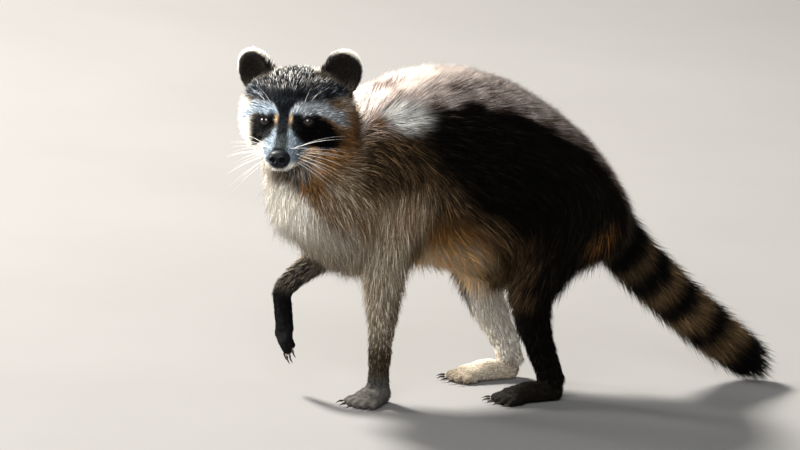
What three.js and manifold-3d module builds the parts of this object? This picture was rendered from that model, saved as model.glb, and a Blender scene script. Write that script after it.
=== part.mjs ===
// A raccoon, life size, walking with its right forepaw lifted and its head turned to its left.
// Millimetres. The nose end is towards -Y, the animal's left is +X, up is +Z, and the floor is z = 0.
// Every piece of flesh is drawn out to the tips of the coat.
import * as THREE from 'three';
import { mergeVertices } from 'three/addons/utils/BufferGeometryUtils.js';
import Module from 'manifold-3d';

const wasm = await Module();
wasm.setup();

// ---- Driving dimensions ----
const gap = 0.5; // clear space left round a piece where its neighbour is cut to it
const cutWidth = 0.4; // width of a flat cut between two lengths of one limb
const overlap = 4; // how far a limb's own pieces run into each other before they are joined

const headCentre = new THREE.Vector3(18, -223, 294); // between the ears, level with the eyes
const headTurn = 47; // degrees to the animal's left
const headDip = 4; // degrees, nose down
const headTilt = 6; // degrees, crown to the animal's right
const eyePlace = new THREE.Vector3(20, -33.5, 1.5); // the left eye, in the head's own frame
const eyeRadius = 7;
const earPlace = new THREE.Vector3(40.5, 22, 33); // the middle of the left ear
const earLean = 21; // degrees outwards
const earHalf = new THREE.Vector3(21.5, 9, 27); // half its width, depth and height
const noseHalf = new THREE.Vector3(10.5, 8, 9);
const nosePlace = new THREE.Vector3(0, -72.5, -27);
const toeRadius = 4.2;
const clawLength = 9;

const down = [0, 0, -1];
const upwards = [0, 0, 1];
const vector = (list) => new THREE.Vector3(...list);

// ---- Solids ----

// A closed solid from a closed geometry, turned face out if it came inside out.
function solidOf(geometry) {
  const bare = geometry.clone();
  for (const name of Object.keys(bare.attributes)) {
    if (name !== 'position') bare.deleteAttribute(name);
  }
  const merged = mergeVertices(bare, 1e-3);
  const vertProperties = new Float32Array(merged.attributes.position.array);
  const triVerts = new Uint32Array(merged.index.array);
  const made = new wasm.Manifold(new wasm.Mesh({ numProp: 3, vertProperties, triVerts }));
  if (made.volume() > 0) return made;
  for (let i = 0; i < triVerts.length; i += 3) {
    [triVerts[i + 1], triVerts[i + 2]] = [triVerts[i + 2], triVerts[i + 1]];
  }
  return new wasm.Manifold(new wasm.Mesh({ numProp: 3, vertProperties, triVerts }));
}

function geometryOf(solid) {
  const mesh = solid.getMesh();
  const geometry = new THREE.BufferGeometry();
  geometry.setAttribute('position', new THREE.BufferAttribute(new Float32Array(mesh.vertProperties), 3));
  geometry.setIndex(new THREE.BufferAttribute(new Uint32Array(mesh.triVerts), 1));
  geometry.computeVertexNormals();
  return geometry;
}

const placed = (solid, matrix) => solidOf(geometryOf(solid).applyMatrix4(matrix));
const joined = (solids) => solids.reduce((whole, next) => whole.add(next));
const without = (solid, cutters) => cutters.reduce((rest, next) => rest.subtract(next), solid);

// The part of a solid on the side of a plane that its normal points to, back from it by half a cut.
function beyond(solid, point, normal) {
  const n = normal.clone().normalize();
  return solid.trimByPlane(n.toArray(), point.dot(n) + cutWidth / 2);
}

// A limb or tail parted by two flat cuts into its first, middle and last lengths.
function parted(solid, cuts) {
  const [first, second] = cuts.map(({ at, along }) => ({ point: vector(at), along: vector(along) }));
  const before = (rest, cut) => beyond(rest, cut.point, cut.along.clone().negate());
  const after = (rest, cut) => beyond(rest, cut.point, cut.along);
  return [before(solid, first), before(after(solid, first), second), after(solid, second)];
}

// One closed skin over rings of points, with a fan from each end ring to its end point.
function skinOver(rings, firstEnd, lastEnd) {
  const sides = rings[0].length;
  const points = [...rings.flat(), firstEnd, lastEnd];
  const first = points.length - 2;
  const last = points.length - 1;
  const lastRing = (rings.length - 1) * sides;
  const faces = [];
  for (let side = 0; side < sides; side++) {
    const next = (side + 1) % sides;
    for (let ring = 0; ring < rings.length - 1; ring++) {
      const here = ring * sides;
      const there = here + sides;
      faces.push(here + side, here + next, there + next, here + side, there + next, there + side);
    }
    faces.push(first, next, side, last, lastRing + side, lastRing + next);
  }
  const geometry = new THREE.BufferGeometry().setFromPoints(points);
  geometry.setIndex(faces);
  return geometry;
}

// A body drawn through stations, each [x, y, z, half width, reach to the left of the line, reach to its
// right], as the line is seen from the animal's left: on a line that runs back, above it and below it.
// An upright body has every section across Y; the others have them square to their own line.
// Both ends are domes, with rings at the `round` angles. `grow` makes the same body a little larger all
// over, to cut a neighbour with.
function body(form, grow = 0) {
  const { stations, rings, sides, domes, round = [30, 60] } = form;
  const { square = 2, upright = false, shape = (point) => point } = form;
  const line = new THREE.CatmullRomCurve3(stations.map(([x, y, z]) => new THREE.Vector3(x, y, z)));
  const sizes = new THREE.CatmullRomCurve3(
    stations.map(([, , , wide, above, below]) => new THREE.Vector3(wide, above, below)),
  );
  const onwardAt = (t) => (upright ? new THREE.Vector3(0, 1, 0) : line.getTangent(t));
  const placeAt = (t, onward) => line.getPoint(t).addScaledVector(onwardAt(t), onward);
  const section = (t, onward, share) => {
    const tangent = onwardAt(t);
    const side = new THREE.Vector3(1, 0, 0);
    side.addScaledVector(tangent, -side.dot(tangent)).normalize();
    const up = upright ? new THREE.Vector3(0, 0, 1) : new THREE.Vector3().crossVectors(side, tangent);
    const size = sizes.getPoint(t).addScalar(grow).multiplyScalar(share);
    return Array.from({ length: sides }, (_, i) => {
      const angle = (2 * Math.PI * i) / sides;
      const rounded = (v) => Math.sign(v) * Math.abs(v) ** (2 / square);
      const across = size.x * rounded(Math.cos(angle));
      const rise = (Math.sin(angle) > 0 ? size.y : size.z) * rounded(Math.sin(angle));
      return shape(placeAt(t, onward).addScaledVector(side, across).addScaledVector(up, rise));
    });
  };
  const angles = round.map(THREE.MathUtils.degToRad);
  const dome = (t, length) => angles.map((a) => section(t, length * Math.sin(a), Math.cos(a)));
  const along = Array.from({ length: rings }, (_, i) => section(i / (rings - 1), 0, 1));
  const reaches = [-(domes[0] + grow), domes[1] + grow];
  const sections = [...dome(0, reaches[0]).reverse(), ...along, ...dome(1, reaches[1])];
  return solidOf(skinOver(sections, shape(placeAt(0, reaches[0])), shape(placeAt(1, reaches[1]))));
}

// A station of an upright body: where it is along Y, its top, bottom and half width, and its middle in X.
function slice(y, top, bottom, wide, x = 0) {
  const tall = (top - bottom) / 2;
  return [x, y, bottom + tall, wide, tall, tall];
}

// An ellipsoid of the given half sizes, turned and then placed.
function ellipsoid(half, place, turn = new THREE.Euler(), detail = [18, 12]) {
  const matrix = new THREE.Matrix4().compose(place, new THREE.Quaternion().setFromEuler(turn), half);
  return solidOf(new THREE.SphereGeometry(1, ...detail).rotateX(Math.PI / 2).applyMatrix4(matrix));
}

// ---- Head, in its own frame: nose towards -Y, the eyes at z = 0 ----

// Swellings and hollows of the face: where each is, how far it spreads and how far it moves the surface.
const faceForms = [
  { at: [50, 14, -24], spread: 24, move: 5 }, // cheek ruff
  { at: [17, -27, 19], spread: 12, move: 1.5 }, // brow
  { at: [26, -37, 0], spread: 9, move: -2 }, // hollow of the eye
  { at: [13, -62, -27], spread: 9, move: 1.5 }, // whisker pad
];

function faceShape(point) {
  const moved = point.clone();
  for (const { at, spread, move } of faceForms) {
    const centre = new THREE.Vector3(at[0] * Math.sign(point.x || 1), at[1], at[2]);
    const amount = move * Math.exp(-point.distanceToSquared(centre) / (spread * spread));
    const outwards = point.clone().sub(new THREE.Vector3(0, 0, -10)).normalize();
    moved.addScaledVector(outwards, amount);
  }
  return moved;
}

const headForm = {
  upright: true,
  sides: 24,
  rings: 13,
  domes: [6, 16],
  square: 2.1,
  shape: faceShape,
  stations: [
    slice(-69, -17, -40, 14),
    slice(-58, -10, -41, 18),
    slice(-47, -1, -41, 22),
    slice(-38, 9, -42, 29),
    slice(-30, 23, -43, 39),
    slice(-20, 34, -45, 47),
    slice(-6, 42, -47, 53),
    slice(12, 44, -47, 54),
    slice(32, 38, -44, 50),
    slice(52, 26, -34, 40),
  ],
};

const mirrored = (v, side) => new THREE.Vector3(v.x * side, v.y, v.z);

function eyeBall(side, grow = 0) {
  const half = new THREE.Vector3(1, 1, 1).multiplyScalar(eyeRadius + grow);
  return ellipsoid(half, mirrored(eyePlace, side), undefined, [12, 7]);
}

const nosePad = (grow = 0) => ellipsoid(noseHalf.clone().addScalar(grow), nosePlace, undefined, [12, 8]);

const headSolid = () => without(body(headForm), [nosePad(gap), eyeBall(-1, gap), eyeBall(1, gap)]);

// A cupped ear: an upright oval with a scoop taken from its front.
function earSolid(side, headGrown) {
  const turn = new THREE.Euler(...[6, side * earLean, side * 20].map(THREE.MathUtils.degToRad), 'ZYX');
  const place = mirrored(earPlace, side);
  const scoopHalf = new THREE.Vector3(earHalf.x - 3.5, earHalf.y - 1, earHalf.z - 4);
  const forwards = new THREE.Vector3(0, -7.5, -1).applyEuler(turn);
  const oval = ellipsoid(earHalf, place, turn, [14, 8]);
  const scoop = ellipsoid(scoopHalf, place.clone().add(forwards), turn, [12, 8]);
  return without(oval, [scoop, headGrown]);
}

// ---- Neck, trunk and tail ----

const neckForm = {
  sides: 16,
  rings: 8,
  domes: [6, 8],
  round: [45],
  stations: [
    [17, -212, 284, 44, 40, 45],
    [12, -196, 254, 52, 46, 52],
    [6, -170, 226, 60, 60, 75],
    [3, -132, 220, 64, 76, 80],
    [2, -104, 222, 64, 80, 80],
  ],
};

const trunkForm = {
  upright: true,
  sides: 20,
  rings: 10,
  domes: [16, 14],
  square: 2.2,
  stations: [
    slice(-158, 288, 178, 44, 4),
    slice(-130, 312, 160, 60, 4),
    slice(-95, 327, 150, 70, 3),
    slice(-50, 333, 139, 77, 1),
    slice(0, 328, 127, 84),
    slice(50, 308, 125, 86),
    slice(95, 279, 128, 82),
    slice(130, 248, 138, 69),
    slice(157, 213, 152, 47),
  ],
};

const tailForm = {
  sides: 12,
  rings: 11,
  domes: [4, 22],
  stations: [
    [0, 128, 196, 22, 22, 22],
    [0, 158, 172, 26, 26, 26],
    [2, 187, 141, 28, 27, 28],
    [6, 219, 112, 27, 27, 27],
    [12, 254, 83, 26, 26, 26],
    [18, 292, 55, 25, 25, 25],
    [24, 328, 30, 21, 21, 21],
  ],
};
const tailCuts = [
  { at: [6, 218, 114], along: [0, 0.8, -0.6] },
  { at: [16, 278, 66], along: [0.1, 0.8, -0.58] },
];

// ---- Legs and paws ----

// Toes spread from the front of the sole, with the middle one longest. Each ends in its own claw.
function toes(form) {
  const { spacing, length, droop, spread } = form;
  const root = vector(form.root);
  const onward = vector(form.onward).normalize();
  const up = vector(form.up).normalize();
  const side = new THREE.Vector3().crossVectors(onward, up);
  const station = (p, r) => [...p.toArray(), r, r, r];
  return [-2, -1, 0, 1, 2].map((step) => {
    const reach = length * (1 - 0.07 * step * step);
    const aim = onward.clone().applyAxisAngle(up, -step * spread);
    const start = root.clone().addScaledVector(side, step * spacing);
    start.addScaledVector(onward, -0.6 * step * step);
    const knuckle = start.clone().addScaledVector(aim, reach * 0.5);
    knuckle.addScaledVector(up, toeRadius * 0.25);
    const tip = start.clone().addScaledVector(aim, reach).addScaledVector(up, -droop);
    const stations = [
      station(start.clone().addScaledVector(aim, -overlap), toeRadius),
      station(knuckle, toeRadius),
      station(tip, toeRadius * 0.8),
    ];
    const clawRoot = tip.clone().addScaledVector(aim, toeRadius * 0.6 + gap).addScaledVector(up, 0.6);
    const clawEnd = clawRoot.clone().addScaledVector(aim, clawLength);
    clawEnd.addScaledVector(up, -droop * 0.8 - 0.6);
    const clawBack = clawRoot.clone().lerp(clawEnd, 0.5).addScaledVector(up, 1.1);
    return {
      flesh: body({ sides: 6, rings: 3, domes: [1, toeRadius * 0.6], round: [], stations }),
      claw: body({
        sides: 4,
        rings: 3,
        domes: [0.3, 0.3],
        round: [],
        stations: [station(clawRoot, 1.7), station(clawBack, 1.3), station(clawEnd, 0.4)],
      }),
    };
  });
}

const limbs = {
  foreleg_left: {
    names: ['foreleg_left_upper', 'foreleg_left_lower', 'forepaw_left'],
    stations: [
      [36, -104, 262, 18, 24, 24],
      [43, -116, 214, 23, 32, 32],
      [45, -121, 168, 24, 27, 27],
      [41, -121, 130, 20, 20, 20],
      [37, -116, 101, 14.5, 14.5, 14.5],
      [31, -112, 72, 11.5, 11.5, 11.5],
      [24, -107, 43, 10.5, 10.5, 10],
      [20, -103, 14, 11.5, 11, 11],
    ],
    sole: [
      [28.5, -121, 7, 15.5, 7, 8],
      [24, -110, 9, 14.5, 9, 10],
      [19.5, -98, 9, 11, 10, 9.8],
    ],
    cuts: [
      { at: [42, -121, 142], along: down },
      { at: [21, -104, 28], along: down },
    ],
    toes: {
      root: [29, -122, 3.6],
      onward: [0.38, -0.92, 0],
      up: upwards,
      spacing: 6.6,
      length: 19,
      droop: 1,
      spread: 0.13,
    },
    onFloor: true,
  },
  foreleg_right: {
    names: ['foreleg_right_upper', 'foreleg_right_lower', 'forepaw_right'],
    stations: [
      [-34, -100, 262, 18, 24, 24],
      [-40, -108, 216, 22, 30, 30],
      [-41, -118, 176, 20, 25, 25],
      [-39, -132, 150, 16, 17, 18],
      [-37, -150, 134, 12.5, 12, 13],
      [-36, -168, 122, 10.5, 10, 10.5],
      [-36, -184, 110, 10.5, 10, 10],
      [-36, -189.5, 98, 10.5, 9, 9.5],
    ],
    sole: [
      [-36, -183, 66, 12, 6, 7],
      [-36, -186, 82, 11.5, 7, 8],
      [-36, -189, 98, 10, 8, 9],
    ],
    cuts: [
      { at: [-40, -134, 152], along: [0, -0.6, -0.8] },
      { at: [-36, -187, 104], along: [0, -0.5, -0.86] },
    ],
    toes: {
      root: [-36, -182.5, 64],
      onward: [0, 0.06, -1],
      up: [0, -1, -0.06],
      spacing: 4.9,
      length: 24,
      droop: 4,
      spread: 0.02,
    },
    onFloor: false,
  },
  hindleg_left: {
    names: ['thigh_left', 'shank_left', 'hindpaw_left'],
    stations: [
      [38, 104, 222, 20, 34, 36],
      [50, 82, 184, 28, 40, 46],
      [54, 58, 148, 26, 36, 36],
      [53, 46, 112, 20, 24, 22],
      [51, 53, 78, 15, 17, 16],
      [49, 68, 48, 12.5, 13.5, 13],
      [48, 84, 16, 12, 13, 13],
    ],
    sole: [
      [50.5, 34, 7, 16, 7, 8],
      [50, 46, 9, 15, 9, 10],
      [49, 66, 10, 11.5, 11, 10.8],
      [48.5, 88, 10, 10.5, 10, 10.8],
    ],
    cuts: [
      { at: [53, 47, 106], along: down },
      { at: [48, 78, 30], along: down },
    ],
    toes: {
      root: [50.5, 33, 3.6],
      onward: [0.04, -1, 0],
      up: upwards,
      spacing: 6.8,
      length: 17,
      droop: 1,
      spread: 0.1,
    },
    onFloor: true,
  },
  hindleg_right: {
    names: ['thigh_right', 'shank_right', 'hindpaw_right'],
    stations: [
      [-38, 106, 222, 20, 34, 36],
      [-50, 86, 184, 28, 40, 48],
      [-53, 56, 148, 26, 36, 38],
      [-52, 48, 112, 21, 25, 24],
      [-49, 62, 74, 15, 17, 17],
      [-45, 80, 44, 12.5, 13, 13],
      [-42, 92, 16, 12, 12, 13],
    ],
    sole: [
      [-40, 36, 7, 16, 7, 8],
      [-40.5, 48, 9, 15, 9, 10],
      [-41, 70, 10, 11.5, 11, 10.8],
      [-41.5, 92, 10, 10.5, 10, 10.8],
    ],
    cuts: [
      { at: [-52, 50, 106], along: down },
      { at: [-43, 88, 30], along: down },
    ],
    toes: {
      root: [-40, 35, 3.6],
      onward: [0.04, -1, 0],
      up: upwards,
      spacing: 6.8,
      length: 17,
      droop: 1,
      spread: 0.1,
    },
    onFloor: true,
  },
};

function limbSolid({ stations, sole, onFloor }, digits, grow = 0) {
  const leg = body({ sides: 12, rings: 9, domes: [10, 2], round: [], stations }, grow);
  const pad = body({ sides: 10, rings: 3, domes: [4, 6], round: [45], square: 2.4, stations: sole }, grow);
  const whole = joined([leg, pad, ...digits.map((digit) => digit.flesh)]);
  return onFloor ? whole.trimByPlane(upwards, 0) : whole;
}

// ---- The whole animal ----

const coats = {
  grizzled: { color: 0x4a4038, roughness: 0.9 },
  pale: { color: 0x8f8473, roughness: 0.9 },
  black: { color: 0x17140f, roughness: 0.9 },
  nose: { color: 0x0a0a0c, roughness: 0.35 },
  eye: { color: 0x0c0806, roughness: 0.05 },
  claw: { color: 0x1c1713, roughness: 0.45 },
};

function piece(name, solid, coat) {
  const material = new THREE.MeshStandardMaterial({ ...coats[coat], metalness: 0 });
  const mesh = new THREE.Mesh(geometryOf(solid), material);
  mesh.name = name;
  return mesh;
}

const raccoon = new THREE.Group();
const headGroup = new THREE.Group();
headGroup.position.copy(headCentre);
headGroup.rotation.set(...[headDip, -headTilt, headTurn].map(THREE.MathUtils.degToRad), 'ZXY');
headGroup.updateMatrix();
raccoon.add(headGroup);

const headGrown = body(headForm, gap);
headGroup.add(piece('head', headSolid(), 'grizzled'), piece('nose', nosePad(), 'nose'));
for (const [name, side] of [['left', 1], ['right', -1]]) {
  headGroup.add(piece('ear_' + name, earSolid(side, headGrown), 'grizzled'));
  headGroup.add(piece('eye_' + name, eyeBall(side), 'eye'));
}

const legsGrown = [];
for (const limb of Object.values(limbs)) {
  const digits = toes(limb.toes);
  const pieces = parted(limbSolid(limb, digits), limb.cuts);
  legsGrown.push(limbSolid(limb, digits, gap));
  limb.names.forEach((name, i) => raccoon.add(piece(name, pieces[i], i < 2 ? 'grizzled' : 'black')));
  digits.forEach(({ claw }, i) => raccoon.add(piece(`claw_${limb.names[2]}_${i + 1}`, claw, 'claw')));
}

const headInPlace = placed(headGrown, headGroup.matrix);
const trunkGrown = body(trunkForm, gap);
raccoon.add(piece('trunk', without(body(trunkForm), [headInPlace, ...legsGrown]), 'grizzled'));
raccoon.add(piece('neck', without(body(neckForm), [trunkGrown, headInPlace, ...legsGrown]), 'pale'));

const tail = without(body(tailForm), [trunkGrown, ...legsGrown]);
const [tailRoot, tailMiddle, tailTip] = parted(tail, tailCuts);
raccoon.add(piece('tail_root', tailRoot, 'grizzled'), piece('tail_middle', tailMiddle, 'grizzled'));
raccoon.add(piece('tail_tip', tailTip, 'black'));

// The origin is under the middle of the whole animal, on the floor.
raccoon.updateMatrixWorld(true);
const extent = new THREE.Box3().setFromObject(raccoon, true);
const middle = extent.getCenter(new THREE.Vector3());
raccoon.position.set(-middle.x, -middle.y, -extent.min.z);

export default raccoon;
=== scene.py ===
import math

import bpy
import numpy as np
from mathutils import Matrix, Vector
from mathutils.bvhtree import BVHTree


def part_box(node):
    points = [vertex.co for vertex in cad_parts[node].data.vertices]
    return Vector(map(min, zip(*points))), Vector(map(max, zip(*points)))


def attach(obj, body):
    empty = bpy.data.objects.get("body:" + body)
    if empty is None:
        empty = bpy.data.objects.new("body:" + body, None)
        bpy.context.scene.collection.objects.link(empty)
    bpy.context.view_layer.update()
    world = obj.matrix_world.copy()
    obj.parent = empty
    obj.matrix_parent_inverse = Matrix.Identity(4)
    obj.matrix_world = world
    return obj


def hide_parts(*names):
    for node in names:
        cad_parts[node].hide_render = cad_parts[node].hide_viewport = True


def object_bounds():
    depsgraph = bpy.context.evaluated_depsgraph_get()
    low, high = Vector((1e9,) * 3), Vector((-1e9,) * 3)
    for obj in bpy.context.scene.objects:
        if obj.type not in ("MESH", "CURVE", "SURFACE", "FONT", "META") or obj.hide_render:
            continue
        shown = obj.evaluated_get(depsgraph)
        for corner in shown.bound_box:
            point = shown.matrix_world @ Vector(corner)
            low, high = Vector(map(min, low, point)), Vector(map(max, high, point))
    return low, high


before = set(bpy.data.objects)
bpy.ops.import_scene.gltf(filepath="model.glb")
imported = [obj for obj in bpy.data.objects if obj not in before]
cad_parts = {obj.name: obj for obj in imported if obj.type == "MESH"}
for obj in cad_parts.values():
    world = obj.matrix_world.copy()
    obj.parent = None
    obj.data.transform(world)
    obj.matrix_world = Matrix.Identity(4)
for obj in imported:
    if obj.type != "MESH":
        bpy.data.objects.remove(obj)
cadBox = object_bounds()
mm = 0.001
weldGap = 0.00002    # metres between points that are merged
chance = np.random.default_rng(7)

sides = {"left": 1, "right": -1}
flesh = ["head", "ear_left", "ear_right", "neck", "trunk", "tail_root", "tail_middle", "tail_tip"]
for side in sides:
    flesh += ["foreleg_" + side + "_upper", "foreleg_" + side + "_lower", "forepaw_" + side]
    flesh += ["thigh_" + side, "shank_" + side, "hindpaw_" + side]
claws = [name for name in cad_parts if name.startswith("claw_")]
eyes = ["eye_left", "eye_right"]


# Points are in millimetres in the body's frame, whose zero is on the floor below the middle of the back
headShape = {
    "middle": (18, -223, 294),  # between the ears, level with the eyes
    # The rest is in the head's frame, from that middle: x to its left, y to its back, z to the crown
    "eyes": (20, -33.5, 1.5),   # the left one
    "nose": (0, -72.5, -27),
    "eyeRadius": 7,
}


def centreOf(node):
    low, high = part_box(node)
    return (low + high) / 2


# The head's axes and middle, found from the eyes and the nose
def headFrame():
    leftEye, rightEye, nose = centreOf("eye_left"), centreOf("eye_right"), centreOf("nose")
    between = (leftEye + rightEye) / 2
    left = (leftEye - rightEye).normalized()
    eyeAt, noseAt = headShape["eyes"], headShape["nose"]
    drop = math.atan2(eyeAt[2] - noseAt[2], eyeAt[1] - noseAt[1])
    back = -(Matrix.Rotation(-drop, 3, left) @ (nose - between))
    back = (back - left * back.dot(left)).normalized()
    up = left.cross(back)
    middle = between - back * eyeAt[1] * mm - up * eyeAt[2] * mm
    return np.array([left, back, up]), np.array(middle) / mm


headAxes, headMiddle = headFrame()
bodyZero = headMiddle - headShape["middle"]
headMiddle = np.array(headShape["middle"], float)


def toHead(points):
    return (points - headMiddle) @ headAxes.T


def fromHead(points):
    return np.asarray(points, float) @ headAxes + headMiddle


def readPoints(mesh):
    points = np.empty(len(mesh.vertices) * 3)
    mesh.vertices.foreach_get("co", points)
    return points.reshape(-1, 3) / mm - bodyZero


def writePoints(mesh, points):
    mesh.vertices.foreach_set("co", ((points + bodyZero) * mm).astype(np.float32).ravel())
    mesh.update()


def readNormals(mesh):
    normals = np.empty(len(mesh.vertices) * 3, np.float32)
    mesh.vertex_normals.foreach_get("vector", normals)
    return normals.reshape(-1, 3).astype(float)


# A place given for the left side, or its mirror image for a turn of -1
def mirrored(place, turn):
    return np.array(place, float) * (turn, 1, 1)


def smoothStep(low, high, value):
    t = np.clip((value - low) / (high - low), 0, 1)
    return t * t * (3 - 2 * t)


def unit(vectors):
    return vectors / np.maximum(np.linalg.norm(vectors, axis=-1, keepdims=True), 1e-9)


def pickOnly(*objects):
    bpy.ops.object.select_all(action="DESELECT")
    for piece in objects:
        piece.select_set(True)
    bpy.context.view_layer.objects.active = objects[0]


def apply(piece, kind, **settings):
    pickOnly(piece)
    modifier = piece.modifiers.new(kind.title(), kind)
    for name, value in settings.items():
        setattr(modifier, name, value)
    bpy.ops.object.modifier_apply(modifier=modifier.name)


def smooth(piece, rounds, group=""):
    apply(piece, "SMOOTH", factor=0.5, iterations=rounds, vertex_group=group)


def setGroup(piece, name, weights, levels=64):
    group = piece.vertex_groups.get(name) or piece.vertex_groups.new(name=name)
    steps = np.round(np.clip(weights, 0, 1) * levels).astype(int)
    for step in range(levels + 1):
        picked = np.nonzero(steps == step)[0].tolist()
        if picked:
            group.add(picked, step / levels, "REPLACE")


def editAll(piece):
    pickOnly(piece)
    bpy.ops.object.mode_set(mode="EDIT")
    bpy.ops.mesh.select_all(action="SELECT")


def leaveEditing():
    bpy.ops.object.mode_set(mode="OBJECT")


def turnFacesOut(piece):
    editAll(piece)
    bpy.ops.mesh.normals_make_consistent(inside=False)
    leaveEditing()
    bpy.ops.object.shade_smooth()


# A unit ball to be shaped, and the places of its points
def newBall(name, segments, rings):
    bpy.ops.object.select_all(action="DESELECT")
    bpy.ops.mesh.primitive_uv_sphere_add(segments=segments, ring_count=rings, radius=1)
    ball = bpy.context.object
    ball.name = ball.data.name = name
    points = np.empty(len(ball.data.vertices) * 3)
    ball.data.vertices.foreach_get("co", points)
    return ball, points.reshape(-1, 3)


def addObject(name, data):
    piece = bpy.data.objects.new(name, data)
    bpy.context.scene.collection.objects.link(piece)
    return piece


# A value or a colour at each point of a mesh, for its material to read
def setValues(mesh, name, values):
    layer = mesh.attributes.new(name, "FLOAT", "POINT")
    layer.data.foreach_set("value", values.astype(np.float32))


def setShades(mesh, tints):
    layer = mesh.color_attributes.new("coatColour", "FLOAT_COLOR", "POINT")
    tints = np.column_stack([tints, np.ones(len(tints))])
    layer.data.foreach_set("color", tints.astype(np.float32).ravel())


# One merged copy of some CAD nodes, each grown by some mm so that neighbours run into each other
def copyNodes(names, newName, grow=0.0):
    copies = []
    for name in names:
        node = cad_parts[name]
        copy = node.copy()
        copy.data = node.data.copy()
        copy.parent = None
        copy.matrix_world = node.matrix_world.copy()
        bpy.context.scene.collection.objects.link(copy)
        copies.append(copy)
        editAll(copy)
        bpy.ops.mesh.remove_doubles(threshold=weldGap)
        bpy.ops.mesh.customdata_custom_splitnormals_clear()
        leaveEditing()
        if grow:
            apply(copy, "DISPLACE", strength=grow * mm, mid_level=0)
    pickOnly(*copies)
    bpy.ops.object.join()
    joined = copies[0]
    joined.name = joined.data.name = newName
    joined.data.materials.clear()
    return joined


# Comb: how the coat lies, how deep it is and how long its hair. Every line runs the way the hair points.
# Its points are x, y, z, depth, hair length and, inside a limb, the limb's radius.
# Lines marked "both" are mirrored. Those of the head are in the head's frame.

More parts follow.
